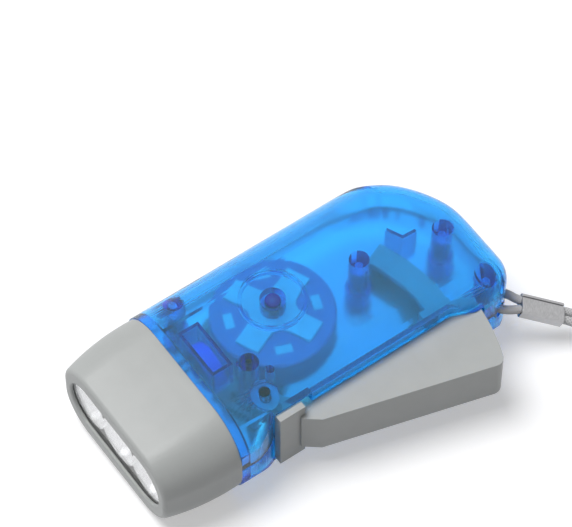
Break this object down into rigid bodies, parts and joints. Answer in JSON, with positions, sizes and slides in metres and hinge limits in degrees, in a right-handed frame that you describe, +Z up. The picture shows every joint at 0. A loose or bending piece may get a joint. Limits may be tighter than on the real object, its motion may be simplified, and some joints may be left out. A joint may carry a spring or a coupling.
{
  "type": "hand crank flashlight",
  "caption": "Palm-size hand-press dynamo flashlight: grey head with lens and reflector cups, see-through casing over a flywheel gear train, sprung side lever and wrist cord.",
  "frame": {"origin": "on the flat side that the torch lies on, on the head's centre line, half way between the lens rim and the tail", "axes": "+Y from the lens to the tail (the lens faces -Y), +X towards the squeeze lever, +Z up from the rest face"},
  "size_m": [0.0921, 0.1588, 0.0295],
  "materials": {
    "casing_blue": "clear tinted plastic, lightly frosted inside",
    "head_grey": "satin moulded plastic",
    "lever_grey": "satin moulded plastic",
    "clear_lens": "clear polished plastic",
    "bright_reflector": "metallised plastic mirror",
    "lamp_clear": "water-clear epoxy",
    "board_green": "printed circuit laminate",
    "black_plastic": "moulded black plastic",
    "cell_metal": "drawn can",
    "steel": "drawn steel",
    "gear_white": "natural acetal",
    "hub_white": "white moulded plastic",
    "flywheel_dark": "dark moulded plastic",
    "magnet_dark": "sintered ferrite",
    "brass": "turned brass",
    "stator_steel": "pressed steel",
    "copper": "enamelled copper wire",
    "wire_red": "plastic wire covering",
    "wire_black": "plastic wire covering",
    "tinned_wire": "tinned wire",
    "cord": "braided cord",
    "crimp_metal": "folded sheet metal"
  },
  "bodies": {
    "casing": {"cell_leads": "tinned_wire", "coil_bobbin": "hub_white", "coil_winding": "copper", "coil_wire_black": "wire_black", "coil_wire_red": "wire_red", "compound_gear_pin": "steel", "drive_pin": "steel", "front_lens": "clear_lens", "gear_plate": "gear_white", "head_bezel": "head_grey", "lamp_1": "lamp_clear", "lamp_2": "lamp_clear", "lamp_3": "lamp_clear", "lamp_board": "board_green", "lanyard_coil": "cord", "lanyard_crimp": "crimp_metal", "lanyard_loop": "cord", "lanyard_strand_back": "cord", "lanyard_strand_out": "cord", "lanyard_tie": "black_plastic", "lever_pivot_pin": "steel", "lower_bush": "brass", "lower_shell": "casing_blue", "rectifier": "black_plastic", "reflector": "bright_reflector", "return_spring": "steel", "shell_screws": "steel", "stator_lower": "stator_steel", "stator_upper": "stator_steel", "storage_cell": "cell_metal", "upper_bush": "brass", "upper_shell": "casing_blue"},
    "lever": {"lever": "lever_grey"},
    "drive_pinion": {"drive_pinion": "gear_white"},
    "clutch_wheel": {"clutch_wheel": "gear_white"},
    "compound_gear": {"compound_gear": "gear_white"},
    "flywheel": {"flywheel": "flywheel_dark", "flywheel_hub": "hub_white", "magnet_ring": "magnet_dark", "flywheel_axle": "steel", "flywheel_pinion": "brass"}
  },
  "joints": [
    {"name": "lever_squeeze", "type": "hinge", "parent": "casing", "child": "lever", "pos_m": [0.016, -0.0197, 0.01475], "axis": [0, 0, 1], "range_deg": [0, 17], "stiffness_Nm_per_rad": 0.6, "springref_deg": -17.19, "deforming": ["return_spring"]},
    {"name": "drive_pinion_turn", "type": "hinge", "parent": "casing", "child": "drive_pinion", "pos_m": [0.00657, -0.01792, 0.01475], "axis": [0, 0, 1], "range_deg": [0, 72.4]},
    {"name": "flywheel_spin", "type": "hinge", "parent": "casing", "child": "flywheel", "pos_m": [-0.0054, -0.002, 0.01475], "axis": [0, 0, 1], "continuous": true},
    {"name": "compound_gear_turn", "type": "hinge", "parent": "casing", "child": "compound_gear", "pos_m": [-0.00121, -0.01163, 0.01475], "axis": [0, 0, 1], "continuous": true},
    {"name": "clutch_wheel_turn", "type": "hinge", "parent": "casing", "child": "clutch_wheel", "pos_m": [0.00657, -0.01792, 0.01475], "axis": [0, 0, 1], "continuous": true}
  ],
  "couplings": [
    {"joint": "drive_pinion_turn", "follows": "lever_squeeze", "ratio": 4.2},
    {"joint": "compound_gear_turn", "follows": "flywheel_spin", "ratio": -0.3125},
    {"joint": "clutch_wheel_turn", "follows": "flywheel_spin", "ratio": 0.13393}
  ]
}
